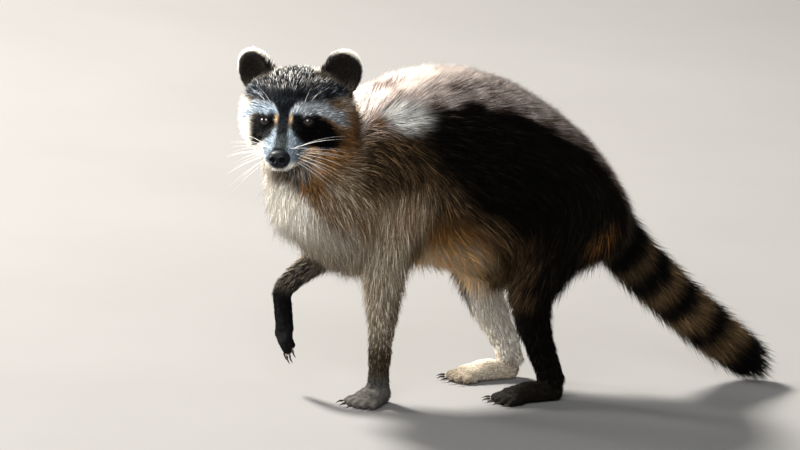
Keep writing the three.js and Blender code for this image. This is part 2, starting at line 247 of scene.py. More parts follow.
combs = [
    ("back", "body", "one", [
        (12, -192, 308, 4.9, 11), (6, -160, 300, 6.1, 14), (4, -130, 312, 7.4, 16), (3, -95, 327, 8.2, 17),
        (0, -50, 333, 8.2, 17), (0, 0, 328, 8.2, 17), (0, 50, 308, 8.2, 17), (0, 95, 279, 8.6, 19),
        (0, 130, 248, 8.2, 19), (0, 155, 222, 6.9, 16), (0, 180, 194, 5.7, 14)]),
    ("back", "body", "both", [
        (34, -150, 300, 6.1, 14), (36, -95, 320, 7.8, 17), (40, -50, 325, 8.2, 17), (42, 0, 318, 8.2, 17),
        (42, 50, 298, 8.2, 17), (40, 95, 268, 8.6, 19), (32, 132, 236, 8.2, 17), (20, 158, 205, 6.9, 16)]),
    ("flank", "body", "both", [
        (60, -110, 275, 10.9, 26), (66, -70, 272, 12.2, 29), (74, -30, 264, 12.9, 30),
        (80, 10, 250, 13.6, 30), (81, 50, 226, 13.6, 30), (74, 90, 200, 12.2, 29),
        (58, 128, 178, 11.6, 26)]),
    ("flank", "body", "both", [
        (70, -70, 222, 11.6, 27), (78, -35, 212, 12.9, 30), (84, 0, 200, 13.6, 32),
        (86, 30, 182, 12.2, 30)]),
    ("belly", "body", "both", [
        (55, -80, 176, 17, 40), (64, -45, 164, 19, 44), (66, 0, 148, 19, 46), (58, 40, 134, 16, 40)]),
    ("belly", "body", "one", [
        (2, -120, 150, 19, 42), (2, -95, 146, 18, 42), (0, -50, 138, 18, 42), (0, 0, 127, 18, 42),
        (0, 50, 125, 16, 38), (0, 95, 128, 15, 32), (0, 130, 140, 14, 30)]),
    ("hips", "body", "both", [
        (66, 60, 225, 13.3, 31), (76, 66, 190, 11.9, 28), (78, 60, 160, 9.8, 25)]),
    ("hips", "body", "both", [
        (50, 128, 200, 12.6, 28), (52, 124, 165, 10.5, 25), (54, 100, 132, 8.4, 22)]),
    ("throat", "body", "one", [
        (18, -243, 262, 13, 28), (14, -240, 236, 17, 34), (9, -226, 198, 20, 38), (6, -206, 166, 20, 36),
        (4, -172, 148, 17, 32)]),
    ("throat", "body", "both", [
        (34, -214, 250, 14, 30), (38, -196, 212, 17, 36), (34, -172, 178, 16, 34),
        (26, -150, 160, 16, 32)]),
    ("neck", "body", "both", [
        (56, -196, 282, 11.9, 28), (60, -172, 256, 13.6, 32), (62, -148, 228, 14.4, 33),
        (62, -128, 200, 13.6, 32)]),
    ("neck", "body", "both", [
        (40, -180, 300, 11.9, 26), (54, -150, 280, 13.6, 32), (62, -122, 258, 14.4, 33),
        (68, -98, 230, 14.4, 33)]),
    ("tail", "body", "one", [
        (0, 150, 180, 12, 32, 24), (0, 165, 165, 13, 32, 26), (2, 187, 141, 15, 31, 27),
        (6, 219, 112, 15, 30, 27), (12, 254, 83, 15, 30, 26), (18, 292, 55, 14, 30, 25),
        (24, 328, 30, 12, 30, 21), (27, 344, 21, 11, 30, 12)]),
    ("foreLegs", "body", "one", [
        (43, -116, 214, 15, 34, 32), (45, -121, 168, 12, 30, 27), (41, -121, 130, 8, 22, 20),
        (37, -116, 101, 4.5, 15, 14.5), (31, -112, 72, 2.5, 10, 11.5), (24, -107, 43, 1.6, 7, 10.5),
        (20, -103, 24, 1.3, 5, 11)]),
    ("foreLegs", "body", "one", [
        (-40, -108, 216, 14, 34, 30), (-41, -118, 176, 11, 30, 25), (-39, -132, 150, 7, 22, 17),
        (-37, -150, 134, 4, 14, 12.5), (-36, -168, 122, 2.5, 9, 10.5), (-36, -182, 110, 1.6, 7, 10),
        (-36, -189, 102, 1.3, 5, 9)]),
    ("paws", "body", "one", [
        (21, -102, 14, 0.9, 4, 11), (27, -117, 8, 0.7, 2.8, 11), (34, -136, 6, 0.35, 1.6, 9)]),
    ("paws", "body", "one", [
        (-36, -190, 96, 0.8, 3.5, 9), (-36, -186, 80, 0.5, 2.4, 9), (-36, -182, 50, 0.3, 1.5, 9)]),
    ("hindLegs", "body", "one", [
        (50, 82, 184, 15, 36, 44), (54, 58, 148, 13, 32, 34), (53, 46, 112, 8, 22, 22),
        (51, 53, 78, 4.5, 15, 15.5), (49, 68, 48, 2.5, 10, 13), (48, 82, 22, 1.6, 7, 12.5)]),
    ("hindLegs", "body", "one", [
        (-50, 86, 184, 15, 36, 44), (-53, 56, 148, 13, 32, 34), (-52, 48, 112, 8, 22, 24),
        (-49, 62, 74, 4.5, 15, 16), (-45, 80, 44, 2.5, 10, 13), (-42, 90, 22, 1.6, 7, 12.5)]),
    ("paws", "body", "one", [
        (48, 88, 10, 1, 4, 11), (50, 60, 9, 0.8, 3, 12), (51, 20, 6, 0.35, 1.6, 9)]),
    ("paws", "body", "one", [
        (-41.5, 92, 10, 1, 4, 11), (-41, 64, 9, 0.8, 3, 12), (-39.5, 22, 6, 0.35, 1.6, 9)]),
    ("face", "head", "one", [
        (0, -70, -20, 0.7, 2.5), (0, -58, -9, 0.9, 3.5), (0, -47, -1, 1.1, 4), (0, -38, 9, 1.4, 5),
        (0, -30, 22, 2.2, 7), (0, -18, 35, 3.5, 9)]),
    ("crown", "head", "one", [
        (0, -18, 35, 2.8, 6), (0, -2, 42, 3.6, 9), (0, 20, 42, 4.8, 11), (0, 42, 35, 7.2, 14),
        (0, 62, 20, 8.8, 17)]),
    ("crown", "head", "both", [
        (13, -26, 27, 2, 5), (22, -12, 37, 2.8, 6), (25, 4, 41, 3.2, 8), (26, 26, 40, 4.8, 10),
        (26, 46, 32, 7.2, 14)]),
    ("face", "head", "both", [
        (9, -43, 5, 1.1, 4), (16, -35, 14, 1.5, 5.5), (28, -26, 18, 2.4, 8), (42, -12, 14, 4, 12),
        (52, 4, 6, 7, 17), (54, 22, -4, 10, 22), (50, 42, -8, 12, 26)]),
    ("face", "head", "both", [
        (8, -48, -5, 1, 3.5), (20, -39, 1, 1.0, 3.5), (32, -30, -2, 1.6, 6), (44, -15, -8, 4, 12),
        (54, 2, -14, 8, 18), (57, 20, -20, 12, 24)]),
    ("face", "head", "both", [
        (9, -68, -25, 0.7, 2.5), (15, -58, -25, 0.9, 4), (22, -47, -21, 1.4, 5.5), (33, -34, -20, 2.6, 8),
        (45, -18, -22, 5.5, 14), (54, 0, -26, 10, 22), (56, 20, -30, 13, 28)]),
    ("face", "head", "both", [
        (7, -68, -36, 0.8, 3), (17, -54, -37, 1.5, 5.5), (28, -38, -39, 4, 11), (40, -18, -42, 8, 20),
        (46, 4, -44, 12, 28), (44, 24, -44, 14, 30)]),
    ("face", "head", "one", [
        (0, -66, -40, 0.8, 3), (0, -52, -42, 1.6, 6), (0, -36, -44, 4, 12), (0, -14, -47, 9, 22),
        (0, 12, -48, 12, 28)]),
    ("ears", "head", "both", [
        (37, 24, 16, 2.2, 8, 12), (40, 23, 26, 0.7, 3.6, 13), (47, 20, 46, 0.5, 2.6, 13),
        (51, 19, 58, 0.5, 2.4, 8)]),
]


combValues = {
    "step": 5,         # mm between the places that a line is read at
    "sharpness": 4,    # how much the nearest line counts over the others
    "near": 7,
    "batch": 8192,     # points worked out at once
}


def combLines():
    names = list(dict.fromkeys(comb[0] for comb in combs))
    places, ways, facts, partOf = [], [], [], []
    for part, where, copies, points in combs:
        for turn in ([1] if copies == "one" else [1, -1]):
            line = np.array([(*point, 0)[:6] for point in points], float)
            line[:, 0] *= turn
            if where == "head":
                line[:, :3] = fromHead(line[:, :3])
            for start, end in zip(line[:-1], line[1:]):
                way = (end - start)[:3]
                length = np.linalg.norm(way)
                steps = max(2, int(length / combValues["step"]))
                for t in (np.arange(steps) + 0.5) / steps:
                    here = start + (end - start) * t
                    places.append(here[:3])
                    ways.append(way / length)
                    facts.append((*here[3:], length / steps))
                    partOf.append(names.index(part))
    return np.array(places), np.array(ways), np.array(facts), np.array(partOf), names + ["short"]


combPlaces, combWays, combFacts, combParts, partNames = combLines()


# The way the hair points, its depth and length, and the part of the body, at each of some points
def combedAt(points):
    way = np.empty((len(points), 3))
    facts = np.empty((len(points), 2))
    parts = np.empty(len(points), int)
    belongs = np.eye(len(partNames))[combParts]
    for first in range(0, len(points), combValues["batch"]):
        some = slice(first, first + combValues["batch"])
        squares = (points[some] ** 2).sum(1)[:, None] - 2 * points[some] @ combPlaces.T
        apart = np.sqrt(np.maximum(squares + (combPlaces ** 2).sum(1), 0))
        apart = np.maximum(apart - combFacts[:, 2], 0) + combValues["near"]
        weight = combFacts[:, 3] / apart ** combValues["sharpness"]
        weight /= weight.sum(1, keepdims=True)
        way[some] = weight @ combWays
        facts[some] = weight @ combFacts[:, :2]
        parts[some] = (weight @ belongs).argmax(1)
    return unit(way), facts[:, 0], facts[:, 1], parts


# The markings: the same colours for the skin and the coat
def colour(red, green, blue):
    value = np.array([red, green, blue], float) / 255
    return np.where(value <= 0.04045, value / 12.92, ((value + 0.055) / 1.055) ** 2.4)


# One number for each cell of a grid, scattered so that neighbours differ widely
def scattered(cells):
    x, y, z = cells.T
    return (x * 73856093) ^ (y * 19349663) ^ (z * 83492791)


# Smooth noise from -1 to 1 with features of the given size
def noiseAt(points, size, seed=0):
    scaled = points / size + seed * 17.3
    base = np.floor(scaled).astype(np.int64)
    share = scaled - base
    share = share * share * (3 - 2 * share)
    total = np.zeros(len(points))
    for corner in range(8):
        offset = np.array([corner & 1, corner >> 1 & 1, corner >> 2 & 1])
        mixed = scattered(base + offset)
        mixed = (mixed ^ (mixed >> 13)) * 1274126177 & 0x7FFFFFFF
        mixed = (mixed ^ (mixed >> 15)) * 668265263 & 0x7FFFFFFF
        weight = np.prod(np.where(offset, share, 1 - share), axis=1)
        total += weight * (mixed / 0x3FFFFFFF - 1)
    return total


# A soft spot: 1 inside, 0 outside, with an edge of the given share of its size
def spot(points, middle, size, edge=0.4):
    far = np.linalg.norm((points - middle) / size, axis=1)
    return 1 - smoothStep(1 - edge, 1 + edge, far)


earValues = {
    "middle": (40.5, 22, 33),   # the left one, in the head's frame
    "half": (21.5, 9, 27),
    "turns": (6, 21, 20),     # degrees: nodding forwards, leaning out, facing out
}


# An ear's axes in the head's frame: across, from front to back, and up
def earAxes(turn):
    nod, lean, face = (math.radians(angle) for angle in earValues["turns"])
    leaned = Matrix.Rotation(face * turn, 3, "Z") @ Matrix.Rotation(lean * turn, 3, "Y")
    return np.array(leaned @ Matrix.Rotation(nod, 3, "X"))


# A point's place in an ear, in half sizes of the ear from its middle
def toEar(head, turn):
    return (head - mirrored(earValues["middle"], turn)) @ earAxes(turn) / earValues["half"]


# The way from an ear's middle line out to its edge, in the body's frame
def earOutwards(head, turn):
    across = toEar(head, turn) * (1, 0, 1)
    return unit(unit(across / earValues["half"]) @ earAxes(turn).T @ headAxes)


coatColours = {
    "grizzled": (104, 90, 74),
    "tan": (132, 104, 72),
    "ochre": (172, 120, 64),
    "gold": (250, 196, 120),
    "pale": (200, 186, 164),
    "cream": (228, 216, 196),
    "white": (246, 244, 238),
    # Frosted hair tips, brightened as painted sunlight
    "sunlitTips": (252, 238, 228),
    "rufous": (92, 64, 54),
    # On the flank this near-black is partly painted shade
    "dark": (9, 8, 7),
    "umber": (40, 32, 23),
    "black": (4, 4, 5),
    "charcoal": (22, 24, 28),
    "steel": (150, 163, 174),
    # Steel darkened as painted shade, for the muzzle and the right brow
    "shade": (94, 107, 117),
    "stripe": (10, 16, 23),
    "bridge": (58, 67, 65),
    "earDark": (40, 35, 30),
    "ringPale": (96, 79, 56),
    "leg": (146, 132, 112),
    "wrist": (70, 58, 42),
    "paw": (112, 108, 102),
    "hand": (14, 14, 15),
}

# The outline of the back: how far back, height
trunkTop = [
    (-158, 288), (-130, 312), (-95, 327), (-50, 333), (0, 328), (50, 308), (95, 279), (130, 248), (157, 213)]
# Where the black of the flank, partly painted shade, begins: height, how far back
flankFront = [
    (150, 40), (178, 14), (195, -16), (210, -42), (226, -64),
    (240, -80), (270, -96), (290, -102), (330, -108)]
tailRings = [90, 134, 181]    # middles of the dark rings, mm along the tail
nearMiddle = (-6, 6)          # where the marks of the head's two sides run into each other


# Points with the colour of most hairs there, that of the others, and the share of the others.
# Their places are warped a little, so that no mark has a straight edge.
class Coat:
    def __init__(self, points):
        self.shades = {name: colour(*value) for name, value in coatColours.items()}
        self.main = np.tile(self.shades["grizzled"], (len(points), 1))
        self.other = np.tile(self.shades["pale"], (len(points), 1))
        self.share = np.full(len(points), 0.35)
        wobble = np.stack([noiseAt(points, 16, seed) for seed in (1, 2, 3)], axis=1)
        wobble += np.stack([noiseAt(points, 5, seed) for seed in (4, 5, 6)], axis=1) * 0.6
        self.points = points
        self.body = points + wobble * 5
        self.head = toHead(points) + wobble * 0.7

    def paint(self, mask, name, otherName, otherShare):
        mask = np.clip(mask, 0, 1)
        self.main = self.main + (self.shades[name] - self.main) * mask[:, None]
        self.other = self.other + (self.shades[otherName] - self.other) * mask[:, None]
        self.share = self.share + (otherShare - self.share) * mask


# The neck and shoulders: tan, darker on top with umber that is partly painted shade, ochre at the left of
# the throat, partly painted shade, with a white chest, cream whitened as painted sunlight
def paintShoulders(coat):
    paint, (x, y, z) = coat.paint, coat.body.T
    paint(1 - smoothStep(-100, -70, y), "tan", "pale", 0.42)
    # Umber over the shoulders: dark coat, partly painted shade behind the head
    paint(smoothStep(-172, -144, y - (z - 250) * 0.3) * smoothStep(200, 226, z), "umber", "tan", 0.26)
    # Ochre left of the throat: a brown patch deepened with painted shade
    paint(spot(coat.body, (50, -224, 236), (20, 30, 28)), "ochre", "umber", 0.4)
    # The chest: cream made white, painted sunlight on its front and right
    reach = 28 + 0.5 * np.clip(234 - z, -20, 44)
    chest = smoothStep(reach + 5, reach - 9, x) * smoothStep(-60, -40, x)
    paint(chest * smoothStep(-146, -172, y), "white", "cream", 0.4)


# The trunk: gold below in front, brightened as painted glow; near-black flanks, a dark coat deepened with
# painted shade;
# a frosted back and pale withers, whitened on top as painted sunlight
def paintTrunk(coat):
    paint, points, (x, y, z) = coat.paint, coat.points, coat.body.T
    drop = np.interp(y, *np.transpose(trunkTop)) - z
    front = np.interp(z, *np.transpose(flankFront))
    lower = smoothStep(-98, -76, y) * (z > 96) * smoothStep(90, 60, y)
    paint(lower * smoothStep(236, 206, z), "umber", "tan", 0.42)
    ahead = 1 - smoothStep(-14, 14, y + 8 + (z - 150) * 0.7)
    paint(lower * ahead * smoothStep(198, 168, z), "ochre", "umber", 0.35)
    # The gold fringe: ochre belly hair brightened as painted glow of backlit hair
    paint(lower * ahead * smoothStep(176, 150, z), "gold", "cream", 0.5)
    # The flank: a dark saddle made near-black with painted shade
    flank = smoothStep(front - 20, front + 14, y) * smoothStep(175, 150, y)
    paint(flank, "dark", "umber", 0.16)
    # The top of the back: frosted tips, whitened towards the top as painted sunlight
    behind = smoothStep(-116, -100, y) * smoothStep(175, 150, y)
    ragged = drop + 5 * noiseAt(points, 11, 21)
    rear = smoothStep(10, 130, y)
    sunlitShare = np.clip(0.84 - 0.02 * ragged - 0.3 * rear + 0.5 * noiseAt(points, 7, 24), 0.1, 0.95)
    paint(behind * smoothStep(33, 25, ragged + 7 * rear), "rufous", "sunlitTips", sunlitShare)
    # Pale withers and white spots by the neck: painted sunlight; the small umber spot between them is
    # painted shade
    withers = smoothStep(44, 22, drop) * smoothStep(-98, -124, y) * smoothStep(-182, -164, y)
    mottle = np.clip(0.7 + 0.5 * noiseAt(points, 10, 22), 0, 0.95)
    paint(withers * smoothStep(268, 288, z), "rufous", "sunlitTips", mottle)
    streaks = np.clip(0.16 - 0.5 * noiseAt(points, 6, 23), 0, 0.7)
    paint(spot(coat.body, (50, -114, 297), (22, 22, 17), 0.4), "white", "umber", streaks)
    paint(spot(coat.body, (18, -152, 300), (18, 14, 18), 0.5), "white", "cream", 0.3)
    paint(spot(coat.body, (40, -137, 288), (9, 9, 10), 0.5), "umber", "ochre", 0.5)
    paint(smoothStep(136, 118, z) * smoothStep(40, 60, y) * (np.abs(x) < 40), "tan", "pale", 0.4)
    paint(spot(coat.body, (58, 112, 158), (30, 24, 22)), "umber", "ochre", 0.3)


# Legs: the left foreleg is pale, its rear side darkened with painted shade, and the right one dark;
# the right hind leg is pale inside and at the foot, while the left one stays dark there as painted shade
def paintLegs(coat):
    paint, (x, y, z) = coat.paint, coat.body.T
    foreLeg = smoothStep(190, 150, z) * smoothStep(-84, -96, y)
    paint(foreLeg, "leg", "cream", 0.4)
    # The rear side of the left foreleg: painted shade
    paint(foreLeg * smoothStep(-118, -104, y) * (x > 0) * smoothStep(70, 100, z), "tan", "umber", 0.35)
    paint(foreLeg * smoothStep(90, 46, z) * (x > 0), "wrist", "leg", 0.2)
    paint(smoothStep(34, 20, z) * (x > 0) * (y < -40), "paw", "charcoal", 0.25)
    paint(foreLeg * smoothStep(156, 124, z) * (x < 0), "charcoal", "leg", 0.3)
    paint(foreLeg * smoothStep(118, 98, z) * (x < 0), "hand", "black", 0.4)
    hindLeg = smoothStep(160, 126, z) * smoothStep(-10, 16, y) * smoothStep(150, 120, y)
    # Pale inside only on the right hind leg; the left leg's inside stays dark, painted shade
    inside = np.where(x > 0, 0, 1 - smoothStep(46, 54, np.abs(x)))
    paint(hindLeg, "dark", "umber", 0.2)
    paint(hindLeg * smoothStep(40, 26, y) * smoothStep(80, 96, z), "umber", "tan", 0.4)
    paint(hindLeg * inside, "white", "cream", 0.5)
    paint(hindLeg * inside * smoothStep(80, 104, z), "gold", "cream", 0.5)
    foot = hindLeg * smoothStep(26, 14, z)
    # The left hind foot dark as painted shade, the right one pale
    paint(foot * (x > 0), "dark", "wrist", 0.1)
    paint(foot * (x < 0), "leg", "cream", 0.5)
    paint(foot * (x < 0) * smoothStep(42, 26, y), "wrist", "pale", 0.3)


# The tail: black at its root, then dark rings and a black tip, paler along its top as painted light
def paintTail(coat):
    paint, (_, y, z) = coat.paint, coat.body.T
    along = (y - 150) * 0.8 - (z - 180) * 0.6
    tail = smoothStep(150, 172, y)
    above = (y - 150) * 0.6 + (z - 180) * 0.8
    paint(tail, "ringPale", "tan", 0.35)
    # The upper side paler: painted light
    paint(tail * smoothStep(4, 20, above), "tan", "pale", 0.5)
    paint(tail * smoothStep(72, 62, along), "black", "dark", 0.3)
    for ring in tailRings:
        paint(tail * (1 - smoothStep(10, 17, np.abs(along - ring))), "black", "dark", 0.2)
    paint(tail * smoothStep(212, 222, along), "black", "dark", 0.2)


# The head: dark crown, steel brows, black mask, a dark stripe, pale muzzle, a tan ruff on its left
# and a white one on its right; the right side is whitened as painted sunlight, the left kept darker, partly
# painted shade
def paintHead(coat):
    head = coat.head
    ax, hy, hz = np.abs(head[:, 0]), head[:, 1], head[:, 2]
    onHead = 1 - smoothStep(58, 74, np.linalg.norm((head - (0, -4, -4)) * (1, 0.8, 1), axis=1))
    centre = np.abs(head[:, 0] + 2 * smoothStep(-62, -40, hy))
    isLeft = smoothStep(*nearMiddle, head[:, 0])

    def paint(mask, *tones):
        coat.paint(onHead * mask, *tones)

    paint(1, "grizzled", "charcoal", 0.4)
    cheek = smoothStep(-4, -26, hz) * smoothStep(14, 26, ax) * smoothStep(26, 10, hy)
    paint(cheek, "tan", "ochre", 0.6)
    # The right cheek made white: painted sunlight
    paint(cheek * (1 - isLeft), "cream", "white", 0.6)
    ruff = smoothStep(34, 44, ax) * smoothStep(22, 6, hz)
    # The left ruff tan and umber, partly painted shade; the right one white, painted sunlight
    paint(ruff * isLeft, "tan", "ochre", 0.45)
    paint(ruff * isLeft * smoothStep(12, 30, hy), "umber", "tan", 0.4)
    paint(ruff * (1 - isLeft), "grizzled", "pale", 0.4)
    paint(ruff * (1 - isLeft) * smoothStep(26, 12, hy), "white", "cream", 0.4)
    paint(isLeft * spot(head, (50, 4, 10), (9, 16, 9)), "pale", "tan", 0.4)
    paint(smoothStep(13, 22, hz) * smoothStep(60, 30, hy), "charcoal", "steel", 0.1)
    paint(spot(head, (-1, -24, 26), (24, 16, 14)), "stripe", "charcoal", 0.3)
    muzzle = smoothStep(-40, -50, hy) * smoothStep(2, -6, hz)
    # The muzzle: steel darkened with painted shade
    paint(muzzle, "shade", "steel", 0.5)
    paint(smoothStep(-28, -34, hz) * smoothStep(-20, -36, hy), "cream", "white", 0.5)
    paint(isLeft * spot(head, (24, -44, -31), (12, 18, 8)), "tan", "gold", 0.5)
    browTop = 18 - 0.012 * np.maximum(ax - 22, 0) ** 2 - 0.3 * np.maximum(ax - 34, 0)
    browFoot = 8 - 0.035 * np.maximum(ax - 26, 0) ** 2
    brow = smoothStep(browFoot - 2, browFoot + 1, hz) * smoothStep(browTop + 3, browTop - 3, hz)
    brow *= smoothStep(4.5, 6.5, centre) * smoothStep(54, 46, ax) * smoothStep(14, 0, hy)
    paint(brow, "steel", "white", 0.25)
    # The right brow darker: painted shade
    paint(brow * (1 - isLeft) * smoothStep(42, 30, ax), "shade", "steel", 0.5)
    outer = 37 + 9 * isLeft
    inner = 7 + 0.03 * np.maximum(4 - hz, 0) ** 2
    maskTop = 9 - 0.03 * np.maximum(ax - 20, 0) ** 2
    maskFoot = -10.5 - 0.9 * (ax - 12) + 0.028 * np.maximum(ax - 26, 0) ** 2
    maskFoot = np.maximum(maskFoot, -29)
    mask = smoothStep(inner - 1, inner + 1, centre) * smoothStep(outer + 3, outer - 3, ax)
    mask *= smoothStep(maskFoot - 2, maskFoot + 2, hz) * smoothStep(maskTop + 1.5, maskTop - 1.5, hz)
    paint(mask * smoothStep(-60, -54, hy) * smoothStep(22, 10, hy), "black", "charcoal", 0.06)
    corner = spot(np.column_stack([centre, hy, hz]), (7.5, -45, 7), (2.4, 9, 6))
    paint(corner, "pale", "gold", 0.5)
    stripeHalf = 5.2 + 0.06 * np.maximum(hz - 8, 0) ** 2
    stripe = smoothStep(stripeHalf + 1, stripeHalf - 1, centre) * smoothStep(-18, -8, hz) * (hy < 30)
    paint(stripe, "stripe", "black", 0.3)
    top = smoothStep(27, 36, hz + 3 * noiseAt(coat.points, 5, 25)) * smoothStep(60, 30, hy)
    paint(top, "charcoal", "white", 0.03 + 0.14 * smoothStep(30, 40, hz))
    bridge = smoothStep(9, 4, centre) * smoothStep(-50, -58, hy)
    paint(bridge * smoothStep(-24, -19, hz), "bridge", "stripe", 0.4)


# Ears: dark inside and behind, with a pale rim; the left one darker, as painted shade
def paintEars(coat):
    paint, head = coat.paint, coat.head
    isLeft = smoothStep(*nearMiddle, head[:, 0])
    for turn in (1, -1):
        ear = toEar(head, turn)
        flat = np.linalg.norm(ear[:, [0, 2]], axis=1)
        onEar = smoothStep(1.3, 1.15, flat) * smoothStep(1.9, 1.6, np.abs(ear[:, 1]))
        onEar *= smoothStep(-0.95, -0.7, ear[:, 2])
        free = np.maximum(smoothStep(38, 41, head[:, 2]), smoothStep(46, 49, np.abs(head[:, 0])))
        # Fewer pale tufts in the left ear: painted shade
        tufts = np.clip(0.3 + 0.6 * noiseAt(coat.points, 8, 26) - 0.3 * isLeft, 0, 0.7)
        paint(onEar, "earDark", "black", 0.4)
        paint(onEar * smoothStep(0.2, -0.6, ear[:, 2]) * (ear[:, 1] < 0), "earDark", "leg", tufts)
        paint(onEar * free * smoothStep(0.9, 0.96, flat), "cream", "white", 0.6)


def markings(points):
    coat = Coat(points)
    for paintPart in (paintShoulders, paintTrunk, paintLegs, paintTail, paintHead, paintEars):
        paintPart(coat)
    return coat.main, coat.other, coat.share


# A node's output socket, so that shader sums are written as plain expressions
class Wire:
    def __init__(self, tree, socket):
        self.tree = tree
        self.socket = socket

    def sum(self, operation, first, second):
        return addNode(self.tree, "ShaderNodeMath", {"operation": operation}, {0: first, 1: second})

    def __add__(self, other):
        return self.sum("ADD", self, other)

    def __radd__(self, other):
        return self.sum("ADD", other, self)

    def __sub__(self, other):
        return self.sum("SUBTRACT", self, other)

    def __rsub__(self, other):
        return self.sum("SUBTRACT", other, self)

    def __mul__(self, other):
        return self.sum("MULTIPLY", self, other)

    def __rmul__(self, other):
        return self.sum("MULTIPLY", other, self)


# Any node: its settings are set first, then its sockets are given values or links
def addNode(tree, kind, settings=None, inputs=None, output=0):
    node = tree.nodes.new(kind)
    for name, value in (settings or {}).items():
        if name == "stops":
            for place, (at, shade) in enumerate(value):
                stop = node.color_ramp.elements[place] if place < 2 else node.color_ramp.elements.new(at)
                stop.position = at
                stop.color = (*shade, 1)
        else:
            setattr(node, name, value)
    for name, value in (inputs or {}).items():
        if isinstance(value, Wire):
            tree.links.new(value.socket, node.inputs[name])
        else:
            node.inputs[name].default_value = value
    return Wire(tree, node.outputs[output])


def newMaterial(name, roughness, specular=0.5):
    material = bpy.data.materials.new(name)
    material.use_nodes = True
    shader = material.node_tree.nodes["Principled BSDF"]
    shader.inputs["Roughness"].default_value = roughness
    shader.inputs["Specular IOR Level"].default_value = specular
    return material, material.node_tree, shader


def feed(shader, socket, wire):
    wire.tree.links.new(wire.socket, shader.inputs[socket])


def objectPlace(tree):
    return addNode(tree, "ShaderNodeTexCoord", output=3)


def grainOf(tree, scale, detail=2.0):
    inputs = {"Vector": objectPlace(tree), "Scale": scale, "Detail": detail}
    return addNode(tree, "ShaderNodeTexNoise", inputs=inputs)


# Values kept at the points of a mesh: a single number, or a colour
def valueOf(tree, name):
    return addNode(tree, "ShaderNodeAttribute", {"attribute_name": name}, output=2)


def tintOf(tree):
    return addNode(tree, "ShaderNodeAttribute", {"attribute_name": "coatColour"})


def mixColours(tree, factor, first, second, blend="MIX"):
    settings = {"data_type": "RGBA", "blend_type": blend}
    return addNode(tree, "ShaderNodeMix", settings, {0: factor, 6: first, 7: second}, output=2)


def shadeOf(*rgb):
    return (*colour(*rgb), 1)


coatLook = {
    "under": 0.45,       # how dark a lock is at its root
    "unevenness": 0.2,   # how far the locks differ in shade
    "roughness": 0.55,
    "specular": 0.05,
    "grain": (420.0, 2.0),    # scale and detail of the fine specks
    "darkest": 0.72,
    "brighter": 0.56,
}
skinLook = {
    "roughness": 0.7,
    "specular": 0.06,
    "grain": (900.0, 3.0),
    "darkest": 0.6,
    "brighter": 0.8,
    "bump": 0.25,
    "bumpHeight": 0.001,
}


# Fur: the colours of the markings, broken up by fine specks
def makeFurMaterial(name, look):
    material, tree, shader = newMaterial(name, look["roughness"], look["specular"])
    grain = grainOf(tree, *look["grain"])
    speck = look["darkest"] + look["brighter"] * grain
    grey = addNode(tree, "ShaderNodeCombineColor", inputs={channel: speck for channel in range(3)})
    feed(shader, "Base Color", mixColours(tree, 1.0, tintOf(tree), grey, "MULTIPLY"))
    if "bump" in look:
        heights = {"Height": grain, "Strength": look["bump"], "Distance": look["bumpHeight"]}
        feed(shader, "Normal", addNode(tree, "ShaderNodeBump", inputs=heights))
    return material


coatMaterial = makeFurMaterial("coat", coatLook)
skinMaterial = makeFurMaterial("skin", skinLook)


# One skin through all the flesh, lying inside it by the coat's depth
skinValues = {
    "grow": 0.6,             # mm by which the solids are grown, so that their cuts close
    "firstVoxel": 1.5,
    "voxel": 1.25,
    "softDepth": (2, 12),    # mm of coat over which the smoothing sets in, before the skin is drawn in
    "softening": 90,         # rounds of smoothing
    "laterSoftDepth": (3, 7),
    "laterSoftening": 20,
    "hiddenDepth": (2.5, 4.5),
    "smoothing": 2,          # rounds all over, each time
    "deepest": 25,           # mm of coat that a full weight stands for
    "keep": 0.14,            # share of the hidden faces left after they are thinned
}


def makeSkin():
    skin = copyNodes(flesh + eyes, "skin", grow=skinValues["grow"])
    apply(skin, "REMESH", mode="VOXEL", voxel_size=skinValues["firstVoxel"] * mm)
    depth = combedAt(readPoints(skin.data))[1]
    setGroup(skin, "soft", smoothStep(*skinValues["softDepth"], depth))
    smooth(skin, skinValues["softening"], "soft")
    smooth(skin, skinValues["smoothing"])
    setGroup(skin, "depth", depth / skinValues["deepest"])
    apply(skin, "DISPLACE", strength=-skinValues["deepest"] * mm, mid_level=0, vertex_group="depth")
    apply(skin, "REMESH", mode="VOXEL", voxel_size=skinValues["voxel"] * mm)
    skin.vertex_groups.clear()
    depth = combedAt(readPoints(skin.data))[1]
    setGroup(skin, "soft", smoothStep(*skinValues["laterSoftDepth"], depth))
    hidden = smoothStep(*skinValues["hiddenDepth"], depth)
    setGroup(skin, "hidden", hidden)
    smooth(skin, skinValues["laterSoftening"], "soft")
    smooth(skin, skinValues["smoothing"])
    print("skin", len(skin.data.polygons), "faces before thinning,", round(hidden.mean(), 2), "hidden")
    apply(skin, "DECIMATE", ratio=1 - (1 - skinValues["keep"]) * hidden.mean(), vertex_group="hidden")
    skin.vertex_groups.clear()
    return skin


skin = makeSkin()

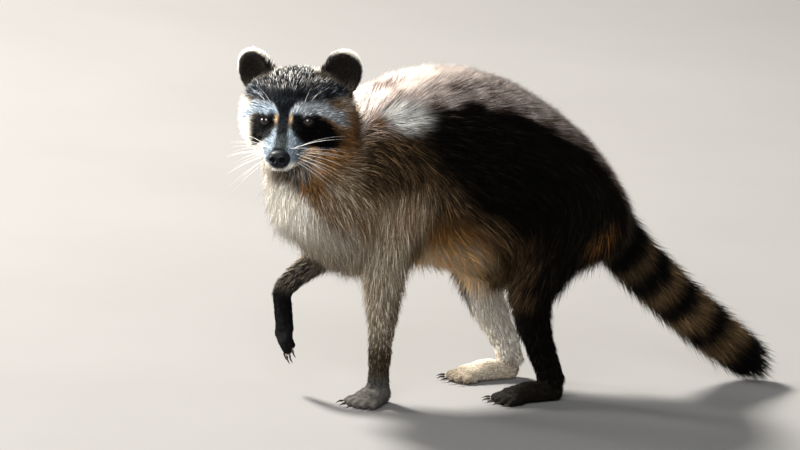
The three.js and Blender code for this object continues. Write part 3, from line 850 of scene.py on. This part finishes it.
# The face: finer skin round the eyes, nose and mouth, then lids, folds and a mouth line
faceValues = {
    "fineReach": 15,                # mm from an eye within which the skin is made finer, once and twice
    "finestReach": 10.5,
    "fineMuzzle": -48,              # and from here forwards
    "gaze": (0.30, -0.945, 0.10),   # where the left eye looks, in the head's frame
    "slant": 9,                     # degrees by which the outer corner of an eye is raised
    "openWide": 0.76,               # half the opening, as an angle at the middle of the eyeball
    "openTall": 0.56,
    "innerSide": 1.12,              # how much further it opens towards the nose
    "lowerSide": 0.9,               # and how much less downwards
    "lidRadius": 7.75,
    "lidRoll": 0.45,
    "behindEye": 6.0,               # radius of the skin behind the front of the eyeball
    "crease": 0.5,                  # depth of the fold above the eye, mm
    "mouthDepth": 1.1,
    "mouthWidth": 1.3,
    "grooveDepth": 0.8,
    "grooveWidth": 1.0,
}
skinLowest, hairLowest = 0.1, 0.3    # mm above the floor


def eyeAxes(turn):
    gaze = unit(mirrored(faceValues["gaze"], turn))
    outward = unit(np.cross(gaze, (0, 0, 1)) * -turn)
    outward = unit(outward - gaze * outward.dot(gaze))
    upward = np.cross(gaze, outward) * turn
    slant = math.radians(faceValues["slant"])
    raised = outward * math.cos(slant) + upward * math.sin(slant)
    return gaze, raised, upward * math.cos(slant) - outward * math.sin(slant)


# Where points lie about an eye: share of the way to the edge of its opening, distance and angle upwards
def eyeRing(head, turn):
    gaze, outward, upward = eyeAxes(turn)
    offset = head - mirrored(headShape["eyes"], turn)
    radius = np.linalg.norm(offset, axis=1)
    forward = offset @ gaze
    aside = np.arctan2(offset @ outward, forward)
    above = np.arctan2(offset @ upward, forward)
    wide = np.where(aside > 0, faceValues["openWide"], faceValues["openWide"] * faceValues["innerSide"])
    narrowing = 1 - 0.32 * np.clip(np.abs(aside) / wide, 0, 1.2) ** 2
    tall = faceValues["openTall"] * np.where(above > 0, 1.0, faceValues["lowerSide"]) * narrowing
    return np.hypot(aside / wide, above / tall), radius, above


def selectFaces(piece, wanted):
    mesh = piece.data
    centres = np.empty(len(mesh.polygons) * 3)
    mesh.polygons.foreach_get("center", centres)
    chosen = wanted(toHead(centres.reshape(-1, 3) / mm - bodyZero))
    pickOnly(piece)
    bpy.ops.object.mode_set(mode="EDIT")
    bpy.ops.mesh.select_mode(type="FACE")
    bpy.ops.mesh.select_all(action="DESELECT")
    leaveEditing()
    mesh.polygons.foreach_set("select", chosen)
    bpy.ops.object.mode_set(mode="EDIT")


def nearEye(head, reach):
    places = (mirrored(headShape["eyes"], turn) for turn in (1, -1))
    return np.minimum(*(np.linalg.norm(head - place, axis=1) for place in places)) < reach


def refineFace(skin):
    regions = [
        lambda head: nearEye(head, faceValues["fineReach"]) | (head[:, 1] < faceValues["fineMuzzle"]),
        lambda head: nearEye(head, faceValues["finestReach"]),
    ]
    for wanted in regions:
        selectFaces(skin, wanted)
        bpy.ops.mesh.subdivide(number_cuts=1, smoothness=0)
        leaveEditing()
    near = toHead(readPoints(skin.data))
    setGroup(skin, "fine", smoothStep(-14, -22, near[:, 1]) * smoothStep(-50, -46, near[:, 2]))
    smooth(skin, 4, "fine")


# How near points are to a line: 1 on it, and fading within about two widths
def alongLine(head, line, width):
    best = np.full(len(head), 1e9)
    for start, end in zip(line[:-1], line[1:]):
        step = end - start
        share = np.clip(((head - start) @ step) / (step @ step), 0, 1)
        best = np.minimum(best, np.linalg.norm(head - start - share[:, None] * step, axis=1))
    return np.exp(-(best / width) ** 2)


mouthLine = [(0, -73, -35), (6, -71, -38), (12, -63, -38.5), (16, -52, -37), (20, -42, -36), (23, -36, -34)]
lipGroove = [(0, -78, -33), (0, -73, -38)]


def shapeFace(skin):
    head = toHead(readPoints(skin.data))
    inwards = -(readNormals(skin.data) @ headAxes.T)
    for line, turn, depth, width in (
            (mouthLine, 1, faceValues["mouthDepth"], faceValues["mouthWidth"]),
            (mouthLine, -1, faceValues["mouthDepth"], faceValues["mouthWidth"]),
            (lipGroove, 1, faceValues["grooveDepth"], faceValues["grooveWidth"])):
        head += inwards * (alongLine(head, mirrored(line, turn), width) * depth)[:, None]
    lid, behind = faceValues["lidRadius"], faceValues["behindEye"]
    for turn in (1, -1):
        ring, radius, above = eyeRing(head, turn)
        inside = behind + (lid - behind) * smoothStep(0.84, 1.0, ring)
        roll = lid + faceValues["lidRoll"] * smoothStep(1.0, 1.22, ring)
        rim = np.where(ring < 1, inside, roll)
        share = 1 - smoothStep(1.25, 1.9, ring)
        wanted = np.maximum(rim, radius * (1 - share) + rim * share)
        wanted = np.where(ring < 1.22, rim, wanted)
        wanted -= faceValues["crease"] * np.exp(-((ring - 1.62) / 0.12) ** 2) * (above > 0)
        close = (radius < 16) & (ring < 2.6)
        offset = head - mirrored(headShape["eyes"], turn)
        head = np.where(close[:, None], head + offset * (wanted / radius - 1)[:, None], head)
    placed = fromHead(head)
    placed[:, 2] = np.maximum(placed[:, 2], skinLowest)
    writePoints(skin.data, placed)


refineFace(skin)
shapeFace(skin)
skin.data.calc_loop_triangles()
print("face shaped,", len(skin.data.loop_triangles), "triangles in the skin")

eyeLook = {
    "cornea": 0.55,       # how far the clear front stands out, mm
    "pupil": 0.36,        # angles from the middle of the gaze
    "iris": 0.80,
    "pupilShade": (0.001, 0.001, 0.002),
    "innerIris": (0.010, 0.005, 0.003),
    "middleIris": (0.016, 0.008, 0.004),
    "outerIris": (0.004, 0.002, 0.001),
    "white": (0.003, 0.002, 0.002),
}


def makeEyeMaterial():
    material, tree, shader = newMaterial("eye", 0.05)
    pupil, iris = eyeLook["pupil"] / math.pi, eyeLook["iris"] / math.pi
    stops = [(0, eyeLook["pupilShade"]), (pupil, eyeLook["pupilShade"]),
             (pupil + 0.015, eyeLook["innerIris"]), (0.2, eyeLook["middleIris"]),
             (iris, eyeLook["outerIris"]), (0.34, eyeLook["white"])]
    place = valueOf(tree, "fromGaze") + 0.03 * (grainOf(tree, 900.0, 4.0) - 0.5)
    feed(shader, "Base Color", addNode(tree, "ShaderNodeValToRGB", {"stops": stops}, {"Fac": place}))
    return material


eyeMaterial = makeEyeMaterial()


def makeEye(side):
    turn = sides[side]
    eye, ball = newBall("eyeball_" + side, 48, 32)
    gaze, outward, upward = eyeAxes(turn)
    angle = np.arccos(np.clip(ball[:, 2], -1, 1))
    radius = headShape["eyeRadius"] + eyeLook["cornea"] * (1 - smoothStep(0.1, 0.95, angle))
    axes = np.array([outward, upward * turn, gaze])
    local = (ball * radius[:, None]) @ axes
    writePoints(eye.data, fromHead(mirrored(headShape["eyes"], turn) + local))
    setValues(eye.data, "fromGaze", angle / math.pi)
    bpy.ops.object.shade_smooth()
    eye.data.materials.append(eyeMaterial)
    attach(eye, "root")
    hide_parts("eye_" + side)


for side in sides:
    makeEye(side)
print("eyes")

noseValues = {
    "half": (10.5, 8, 9),
    "squareness": 0.92,        # 1 for a plain ball
    "wider": 0.13,             # how much wider it is at the top
    "tuckedIn": 0.8,           # how far the front is pressed in below its middle
    "nostril": (4.7, 0.6),     # how far out and how high
    "nostrilSize": 2.5,
    "nostrilDepth": 3.6,
    "slitDepth": 1.6,
    "slitWidth": 0.95,
    "grooveDepth": 0.9,
    "grooveWidth": 0.75,
    "wing": 0.6,               # how far the rim above a nostril stands out
    "roughness": 0.42,
    "specular": 0.12,
    "pebbles": 1300.0,
    "pebbleHeight": 0.0002,
}


def makeNoseMaterial():
    material, tree, shader = newMaterial("nose leather", noseValues["roughness"], noseValues["specular"])
    blotched = mixColours(tree, grainOf(tree, 220.0, 3.0), shadeOf(5, 7, 10), shadeOf(15, 18, 23))
    # Darker in the nostrils: painted shade in the hollows
    feed(shader, "Base Color", mixColours(tree, valueOf(tree, "hollow"), blotched, shadeOf(2, 2, 3)))
    pattern = {"Vector": objectPlace(tree), "Scale": noseValues["pebbles"]}
    pebbles = addNode(tree, "ShaderNodeTexVoronoi", {"feature": "F1"}, pattern)
    heights = {"Height": pebbles, "Strength": 0.35, "Distance": noseValues["pebbleHeight"]}
    feed(shader, "Normal", addNode(tree, "ShaderNodeBump", {"invert": True}, heights))
    return material


def makeNose():
    nose, ball = newBall("nose_leather", 96, 64)
    ball = ball[:, [0, 2, 1]] * (1, -1, 1)      # the sphere's poles face front and back
    local = np.sign(ball) * np.abs(ball) ** noseValues["squareness"] * noseValues["half"]
    local[:, 0] *= 1 + noseValues["wider"] * ball[:, 2]
    front = smoothStep(0.15, -0.35, ball[:, 1])
    press = noseValues["tuckedIn"] * front * np.exp(-(ball[:, 0] / 0.35) ** 2)
    local[:, 1] += press * smoothStep(0.5, -0.6, ball[:, 2])
    out, high = noseValues["nostril"]
    side, height = np.abs(local[:, 0]), local[:, 2] - high
    hole = np.exp(-(np.hypot(side - out, height * 1.05) / noseValues["nostrilSize"]) ** 4)
    slit = np.exp(-((height + 1.2 + 0.32 * (side - out)) / noseValues["slitWidth"]) ** 2)
    slit *= smoothStep(out, out + 1.5, side)
    groove = np.exp(-(side / noseValues["grooveWidth"]) ** 2) * smoothStep(2, -2, local[:, 2])
    local[:, 1] += front * (hole * noseValues["nostrilDepth"] + groove * noseValues["grooveDepth"])
    pull = slit * noseValues["slitDepth"] * smoothStep(0.75, 0.2, ball[:, 1])
    local -= unit(local) * pull[:, None]
    wing = np.exp(-(np.hypot(side - out - 0.6, local[:, 2] - high - 2.6) / 1.8) ** 2)
    local[:, 1] -= front * wing * noseValues["wing"]
    writePoints(nose.data, fromHead(local + headShape["nose"]))
    # Where the nostrils are hollow, for their painted shade
    setValues(nose.data, "hollow", hole * front)
    turnFacesOut(nose)
    nose.data.materials.append(makeNoseMaterial())
    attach(nose, "root")
    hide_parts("nose")


makeNose()
print("nose")


# The CAD claws, rounded off and joined
def makeClaws():
    piece = copyNodes(claws, "claws")
    apply(piece, "SUBSURF", levels=2, render_levels=2)
    pickOnly(piece)
    bpy.ops.object.shade_smooth()
    material, tree, shader = newMaterial("claw horn", 0.38, 0.45)
    horn = mixColours(tree, grainOf(tree, 500.0, 3.0), shadeOf(24, 19, 16), shadeOf(66, 54, 44))
    feed(shader, "Base Color", horn)
    piece.data.materials.append(material)
    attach(piece, "root")
    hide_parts(*claws)


makeClaws()
print("claws", len(claws))

whiskerValues = {
    "rows": [(-18, 4), (-22.5, 5), (-27, 5), (-31.5, 4)],    # height on the muzzle and how many
    "first": -66,              # how far back the foremost whisker of the top row is
    "step": 4.6,
    "length": (30, 58),
    "thickness": 0.34,
    "sag": 0.22,
    "sink": 0.04,              # share of the length that is in the skin
    # place and heading of those over the left eye
    "brows": [((17, -30, 19), (0.35, -0.35, 0.85)), ((22, -27, 19), (0.6, -0.2, 0.75))],
    "browLength": 24,
    "room": (0.03, 8),         # share of the size, and mm, by which whiskers may pass the CAD box
    "rings": 9,
    "corners": 5,
    "roughness": 0.35,
}
whiskerDrop = np.array([0, 0.35, -1.0])


# The root, heading and length of each whisker
def whiskerStarts():
    tree = BVHTree.FromObject(skin, bpy.context.evaluated_depsgraph_get())
    low, high = whiskerValues["length"]
    starts = []
    for turn in (1, -1):
        for row, (height, count) in enumerate(whiskerValues["rows"]):
            for i in range(count):
                back = whiskerValues["first"] + i * whiskerValues["step"] + row
                start = np.array([turn * 30, back, height + chance.normal(0, 0.5)])
                inward = Vector(np.array([-turn, 0, 0]) @ headAxes)
                hit = tree.ray_cast(Vector((fromHead(start) + bodyZero) * mm), inward)[0]
                if hit is None:
                    continue
                root = toHead((np.array(hit) / mm - bodyZero)[None])[0]
                length = low + (high - low) * (0.35 + 0.5 * i / count + 0.2 * chance.random())
                heading = unit(np.array([turn * 0.8, -0.1 + 0.26 * i + chance.normal(0, 0.06),
                                         0.22 - 0.2 * row + chance.normal(0, 0.07)]))
                starts.append((root, heading, length))
        for place, heading in whiskerValues["brows"]:
            length = whiskerValues["browLength"] + 6 * chance.random()
            starts.append((mirrored(place, turn), unit(mirrored(heading, turn)), length))
    return starts


# A whisker is shortened until its tip is inside the room round the CAD box
def fittedLength(root, heading, length):
    low, high = (np.array(corner) / mm - bodyZero for corner in cadBox)
    share, extra = whiskerValues["room"]
    room = (high - low) * share + extra
    for _ in range(20):
        tip = fromHead(root + heading * length + whiskerDrop * whiskerValues["sag"] * length)
        if (tip < low - room).any() or (tip > high + room).any():
            length *= 0.95
    return length


def makeWhiskers():
    rings, corners, sag = whiskerValues["rings"], whiskerValues["corners"], whiskerValues["sag"]
    starts = whiskerStarts()
    points, faces = [], []
    for root, heading, length in starts:
        length = fittedLength(root, heading, length)
        first = len(points)
        for ring in range(rings):
            s = ring / (rings - 1)
            here = root + heading * length * (s - whiskerValues["sink"]) + whiskerDrop * sag * length * s * s
            onward = unit(heading + whiskerDrop * 2 * sag * s)
            one = unit(np.cross(onward, (0, 0.2, 1)))
            two = np.cross(onward, one)
            girth = whiskerValues["thickness"] / 2 * (1 - 0.9 * s)
            for corner in range(corners):
                angle = 2 * math.pi * corner / corners
                points.append(here + (one * math.cos(angle) + two * math.sin(angle)) * girth)
        for ring in range(rings - 1):
            for corner in range(corners):
                a = first + ring * corners + corner
                b = first + ring * corners + (corner + 1) % corners
                faces.append((a, b, b + corners, a + corners))
        faces.append(tuple(range(first + corners - 1, first - 1, -1)))
        last = first + (rings - 1) * corners
        faces.append(tuple(range(last, last + corners)))
    mesh = bpy.data.meshes.new("whiskers")
    mesh.from_pydata([tuple(p) for p in points], [], faces)
    writePoints(mesh, fromHead(points))
    whiskers = addObject("whiskers", mesh)
    turnFacesOut(whiskers)
    material, tree, shader = newMaterial("whisker", whiskerValues["roughness"])
    ivory = mixColours(tree, grainOf(tree, 60.0), shadeOf(214, 208, 196), shadeOf(250, 248, 242))
    feed(shader, "Base Color", ivory)
    mesh.materials.append(material)
    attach(whiskers, "root")
    print("whiskers", len(starts))


makeWhiskers()

# The coat: thin locks that follow the comb, each a closed three-sided spike or spindle
coatValues = {
    # part: locks to a square cm of skin, width in mm, bent or not, share of the lift, waviness
    "short": (125, 0.5, False, 0.9, 0.12),
    "face": (115, 0.5, True, 1.0, 0.12),
    "crown": (115, 0.5, True, 1.0, 0.14),
    "neck": (100, 0.6, True, 1.0, 0.14),
    "throat": (95, 0.6, True, 1.1, 0.18),
    "back": (150, 0.55, False, 1.0, 0.12),
    "flank": (100, 0.62, True, 1.0, 0.1),
    "belly": (85, 0.66, True, 1.1, 0.2),
    "foreLegs": (85, 0.55, True, 1.0, 0.12),
    "hindLegs": (80, 0.6, True, 0.92, 0.12),
    "tail": (95, 0.66, True, 1.0, 0.14),
}
coatGrain = {
    "lengthSpread": 0.28,    # share by which hair lengths differ
    "rise": 2.1,             # angle at the root, as a multiple of the coat's depth over its length
    "riseSpread": 0.3,
    "riseRange": (0.12, 1.35),
    "steps": 6,              # straight steps to each stretch of a lock
    "clump": 7,              # mm across a clump whose tips draw together
    "drawIn": 0.3,
    "droop": 0.18,           # how far long hair sinks
    "sink": 0.3,             # mm of a lock that is in the skin
    "shortest": 7,           # hair below this length, in mm, is drawn as short straight locks
    "combing": 6,            # rounds of evening out the way the hair lies
    "noseRoom": (11.2, 9.5, 9.6),    # half sizes of the bare place round the nose
    "lidRoom": 1.14,         # bare out to here from the middle of an eye's opening, whose edge is 1
    "soleRoom": 1.2,         # mm above the floor that stay bare
    "patch": 0.003,          # size of a lock's patch on the map
    "most": 190000,          # triangles to a piece
    "quick": (0.12, 2),
}


# The corners of a mesh's triangles, and their places on the map
def readTriangles(mesh):
    mesh.calc_loop_triangles()
    count = len(mesh.loop_triangles)
    corners = np.empty(count * 3, np.int32)
    loops = np.empty(count * 3, np.int32)
    mesh.loop_triangles.foreach_get("vertices", corners)
    mesh.loop_triangles.foreach_get("loops", loops)
    spread = np.empty(len(mesh.loops) * 2, np.float32)
    mesh.uv_layers["OFBake"].uv.foreach_get("vector", spread)
    return corners.reshape(-1, 3), spread.reshape(-1, 2)[loops.reshape(-1, 3)].astype(float)


# Smooths values kept at the vertices along the mesh's edges
def evened(mesh, values, rounds):
    edges = np.empty(len(mesh.edges) * 2, np.int32)
    mesh.edges.foreach_get("vertices", edges)
    a, b = edges.reshape(-1, 2).T
    count = len(values)
    near = np.bincount(edges, minlength=count)[:, None]
    for _ in range(rounds):
        sums = [np.bincount(a, column[b], count) + np.bincount(b, column[a], count) for column in values.T]
        values = (values + np.stack(sums, axis=1) / near) / 2
    return values


def coatField(skin):
    points = readPoints(skin.data)
    way, depth, length, part = combedAt(points)
    together = evened(skin.data, np.column_stack([way, depth, length]), coatGrain["combing"])
    head = toHead(points)
    for turn in (1, -1):
        ear = toEar(head, turn)
        flat = np.linalg.norm(ear[:, [0, 2]], axis=1)
        edge = smoothStep(0.88, 1.0, flat) * (np.abs(ear[:, 1]) < 1.3)
        edge *= smoothStep(-0.8, -0.5, ear[:, 2]) * (flat < 1.2)
        together[:, :3] += earOutwards(head, turn) * edge[:, None] * 1.2
    for name, other in (("ears", "short"), ("paws", "short"), ("hips", "hindLegs")):
        part[part == partNames.index(name)] = partNames.index(other)
    part[length < coatGrain["shortest"]] = partNames.index("short")
    return {"points": points, "normals": evened(skin.data, readNormals(skin.data), 2),
            "way": unit(together[:, :3]), "depth": together[:, 3], "length": together[:, 4],
            "part": part, "bare": isBare(points)}


# Bare places: round the nose, in the eye openings and on the rims of the lids, and under the soles
def isBare(points):
    head = toHead(points)
    bare = np.linalg.norm((head - headShape["nose"]) / np.array(coatGrain["noseRoom"]), axis=1) < 1
    for turn in (1, -1):
        ring, radius, _ = eyeRing(head, turn)
        bare |= (ring < coatGrain["lidRoom"]) & (radius < 12)
    return bare | (points[:, 2] < coatGrain["soleRoom"])


# Places picked at random over one part of the skin, with all that is known of the coat there
def lockPlaces(part, field, corners, spread):
    number, density = partNames.index(part), coatValues[part][0]
    mine = np.nonzero((field["part"][corners[:, 0]] == number) & ~field["bare"][corners].any(1))[0]
    a, b, c = (field["points"][corners[mine, i]] for i in range(3))
    size = np.linalg.norm(np.cross(b - a, c - a), axis=1) / 2
    count = int(size.sum() / 100 * density)
    picked = mine[chance.choice(len(mine), count, p=size / size.sum())]
    u, v = chance.random((2, count))
    over = u + v > 1
    u[over], v[over] = 1 - u[over], 1 - v[over]
    weights = np.stack([1 - u - v, u, v], axis=1)

    def between(values):
        return (values * weights.reshape(weights.shape + (1,) * (values.ndim - 2))).sum(1)

    locks = {name: between(field[name][corners[picked]])
             for name in ("points", "normals", "way", "depth", "length")}
    return locks | {"spread": between(spread[picked])}


# The middle line of every lock, at the given shares of its length
def lockLines(locks, shares, lift, wave):
    roots, out, way = locks["points"], unit(locks["normals"]), locks["way"]
    count = len(roots)
    length = locks["length"] * (1 + coatGrain["lengthSpread"] * chance.normal(0, 0.6, count).clip(-2, 1.6))
    along = (way * out).sum(1)
    flat = way - out * along[:, None]
    flat = unit(flat + np.array([0, 0, -1]) * coatGrain["droop"] * smoothStep(10, 40, length)[:, None])
    flat = unit(flat - out * (flat * out).sum(1)[:, None])
    across = np.cross(out, flat)
    ratio = np.clip(locks["depth"] / np.maximum(locks["length"], 1), 0.05, 0.8) * lift
    uneven = 1 + coatGrain["riseSpread"] * chance.normal(0, 1, count).clip(-2, 2)
    rise = np.clip(coatGrain["rise"] * ratio * uneven, *coatGrain["riseRange"])
    rest = np.maximum(0.08 * rise, np.arcsin(np.clip(along, 0, 0.95)) * 0.9)
    rise = np.maximum(rise, rest)
    swing = chance.normal(0, wave, count)
    swing += noiseAt(roots, 22, 31) * wave * 1.5
    curl = chance.normal(0, wave, count)
    lines = [roots - out * coatGrain["sink"]]
    steps = coatGrain["steps"]
    place = roots.copy()
    lastShare = 0
    for share in shares[1:]:
        for step in range(steps):
            s = lastShare + (share - lastShare) * (step + 0.5) / steps
            angle = (rise + (rest - rise) * s ** 0.8)[:, None]
            turn = (swing + curl * s)[:, None]
            heading = out * np.sin(angle) + (flat * np.cos(turn) + across * np.sin(turn)) * np.cos(angle)
            place = place + heading * (length * (share - lastShare) / steps)[:, None]
        lines.append(place.copy())
        lastShare = share
    lines = np.stack(lines, axis=1)

    # Tips that are in one clump draw together
    cell = np.floor((roots + noiseAt(roots, 9, 12)[:, None] * 3) / coatGrain["clump"]).astype(np.int64)
    group = np.unique(scattered(cell), return_inverse=True)[1]
    members = np.bincount(group)
    common = np.stack([np.bincount(group, column) / members for column in lines[:, -1].T], axis=1)[group]
    pull = (common - lines[:, -1]) * coatGrain["drawIn"] * chance.random(count)[:, None]
    pull -= out * (pull * out).sum(1)[:, None]
    lines += pull[:, None, :] * (np.array(shares) ** 2)[None, :, None]
    return lines, out, length


# A straight lock is a spike with a flat root; a bent one is a spindle, pointed at both ends.
# The spots are its corners' places on its patch of the map.
lockShapes = {
    False: {
        "shares": [0, 1],
        "faces": [(0, 1, 2), (0, 3, 1), (1, 3, 2), (2, 3, 0)],
        "spots": [(0, 0), (1, 0), (0.5, 0), (0.5, 1)],
    },
    True: {
        "shares": [0, 0.4, 1],
        "faces": [(0, 1, 2), (0, 2, 3), (0, 3, 1), (1, 4, 2), (2, 4, 3), (3, 4, 1)],
        "spots": [(0.5, 0), (0, 0.4), (1, 0.4), (0.5, 0.4), (0.5, 1)],
    },
}


def growLocks(part, field, corners, spread):
    width, bent, lift, wave = coatValues[part][1:]
    shape = lockShapes[bent]
    locks = lockPlaces(part, field, corners, spread)
    lines, out, length = lockLines(locks, shape["shares"], lift, wave)
    count = len(lines)
    forward = unit(np.gradient(lines, axis=1))
    across = unit(np.cross(forward, out[:, None, :]))
    upward = np.cross(across, forward)
    half = (width / 2 * (0.7 + 0.6 * chance.random(count)) * smoothStep(0, 6, length + 2))[:, None]
    wide = int(bent)       # where along its line a lock is widest
    middle, aside = lines[:, wide], across[:, wide] * half
    ring = [middle - aside, middle + aside, middle + upward[:, wide] * half]
    points = np.stack([lines[:, 0]] * wide + ring + [lines[:, -1]], axis=1)
    points[..., 2] = np.maximum(points[..., 2], hairLowest)

    # Colour along each lock, from where its middle and its end lie
    pick = chance.random(count)
    shade = np.clip(1 + chance.normal(0, coatLook["unevenness"], count), 0.5, 1.6)[:, None]
    middle = (lines[:, 0] + lines[:, -1]) / 2
    tones = []
    for place in (middle, lines[:, -1] * 0.85 + middle * 0.15):
        main, other, share = markings(place - out * 2)
        mixed = smoothStep(-0.12, 0.12, share - pick)[:, None]
        tones.append((main + (other - main) * mixed) * shade)
    bright = tones[0].max(axis=1, keepdims=True)
    under = tones[0] * (coatLook["under"] + (1 - coatLook["under"]) * 0.7 * np.clip(bright, 0, 1))
    ring = (tones[0] + under) / 2 if bent else under
    tints = np.stack([under] * wide + [ring] * 3 + [tones[1]], axis=1)
    spots = (np.array(shape["spots"]) - 0.5) * coatGrain["patch"]
    places = locks["spread"][:, None, :] + spots
    faces = np.array(shape["faces"])
    pieces = math.ceil(count * len(faces) / coatGrain["most"])
    order = np.argsort(locks["points"][:, 1])
    print(part, count, "locks", count * len(faces), "triangles in", pieces)
    return [makeLockPiece(part, number, points[some], tints[some], places[some], faces)
            for number, some in enumerate(np.array_split(order, pieces), 1)]


def makeLockPiece(part, number, points, tints, places, faces):
    count, corners = points.shape[:2]
    allFaces = (faces[None] + np.arange(count)[:, None, None] * corners).reshape(-1, 3)
    name = "coat_" + part + "_" + str(number)
    mesh = bpy.data.meshes.new(name)
    mesh.vertices.add(count * corners)
    mesh.loops.add(len(allFaces) * 3)
    mesh.polygons.add(len(allFaces))
    mesh.loops.foreach_set("vertex_index", allFaces.astype(np.int32).ravel())
    mesh.polygons.foreach_set("loop_start", np.arange(0, len(allFaces) * 3, 3, dtype=np.int32))
    writePoints(mesh, points.reshape(-1, 3))
    mesh.update(calc_edges=True)
    mesh.polygons.foreach_set("use_smooth", np.ones(len(allFaces), bool))
    setShades(mesh, tints.reshape(-1, 3))
    patches = mesh.uv_layers.new(name="OFBake")
    patches.uv.foreach_set("vector", places.reshape(-1, 2)[allFaces.ravel()].astype(np.float32).ravel())
    mesh.materials.append(coatMaterial)
    return addObject(name, mesh)


cameraValues = {
    "azimuth": 58,
    "elevation": 12,
    "roll": 5,
    "across": -55,           # from the body's zero on the floor to the view's middle, mm
    "upwards": 167,
    "distance": 6000,
    "lens": 270,
}


def addCamera():
    turn, rise, roll = (math.radians(cameraValues[name]) for name in ("azimuth", "elevation", "roll"))
    back = Vector((math.sin(turn) * math.cos(rise), -math.cos(turn) * math.cos(rise), math.sin(rise)))
    level = Vector((math.cos(turn), math.sin(turn), 0))
    upright = back.cross(level)
    right = level * math.cos(roll) + upright * math.sin(roll)
    up = upright * math.cos(roll) - level * math.sin(roll)
    middle = Vector(bodyZero) + right * cameraValues["across"] + up * cameraValues["upwards"]
    camera = addObject("camera", bpy.data.cameras.new("camera"))
    camera.data.lens = cameraValues["lens"]
    camera.data.sensor_width = 36
    camera.data.clip_end = 100
    turned = Matrix((right, up, back)).transposed().to_4x4()
    camera.matrix_world = Matrix.Translation((middle + back * cameraValues["distance"]) * mm) @ turned
    bpy.context.scene.camera = camera


# Soft round lights; places and sizes are in metres
lights = [
    # name, place, aim, size, power, colour
    ("back", (-2.9, -1.4, 3.7), (0, 0, 0.15), 1.0, 1050, (1, 0.96, 0.9)),
    ("front", (2.9, -2.6, 2.2), (0, 0, 0.15), 2.6, 220, (0.97, 0.98, 1)),
    ("low", (-2.6, -3.4, 0.9), (0, -0.15, 0.2), 1.4, 330, (1, 0.97, 0.93)),
]
setting = {
    "sky": (0.9, 0.9, 0.9, 1),
    "skyStrength": 0.4,
    "floorSize": 8,
    "floorShades": [(0.145, 0.142, 0.138, 1), (0.168, 0.165, 0.161, 1)],
}


def addLight(name, place, aim, size, power, color):
    light = bpy.data.lights.new(name, "AREA")
    light.shape = "DISK"
    light.size = size
    light.energy = power
    light.color = color
    lamp = addObject(name, light)
    lamp.location = place
    lamp.rotation_euler = (Vector(aim) - Vector(place)).to_track_quat("-Z", "Y").to_euler()


def addSky():
    bpy.context.scene.view_settings.view_transform = "Standard"
    world = bpy.data.worlds.new("world")
    bpy.context.scene.world = world
    world.use_nodes = True
    sky = world.node_tree.nodes["Background"].inputs
    sky["Color"].default_value = setting["sky"]
    sky["Strength"].default_value = setting["skyStrength"]


def addFloor():
    bpy.ops.mesh.primitive_plane_add(size=setting["floorSize"])
    floor = bpy.context.object
    floor.name = "floor"
    material, tree, shader = newMaterial("floor", 0.9, 0.1)
    feed(shader, "Base Color", mixColours(tree, grainOf(tree, 3.0, 3.0), *setting["floorShades"]))
    floor.data.materials.append(material)


addCamera()
for light in lights:
    addLight(*light)
addSky()
addFloor()
print("camera, lights and floor")


def unwrapSkin():
    editAll(skin)
    skin.data.uv_layers.new(name="OFBake")
    bpy.ops.uv.smart_project(angle_limit=math.radians(66), island_margin=0.002)
    leaveEditing()


def paintSkin():
    main, other, share = markings(readPoints(skin.data))
    # The skin gets the markings at half brightness: painted shade between the hairs
    setShades(skin.data, (main + (other - main) * share[:, None]) * 0.5)
    skin.data.materials.append(skinMaterial)
    pickOnly(skin)
    bpy.ops.object.shade_smooth()


def growCoat():
    field = coatField(skin)
    corners, spread = readTriangles(skin.data)
    total = 0
    for part in coatValues:
        for coat in growLocks(part, field, corners, spread):
            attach(coat, "root")
            total += len(coat.data.polygons)
    print("coat", total, "triangles")


unwrapSkin()
paintSkin()
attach(skin, "root")
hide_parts(*flesh)
growCoat()
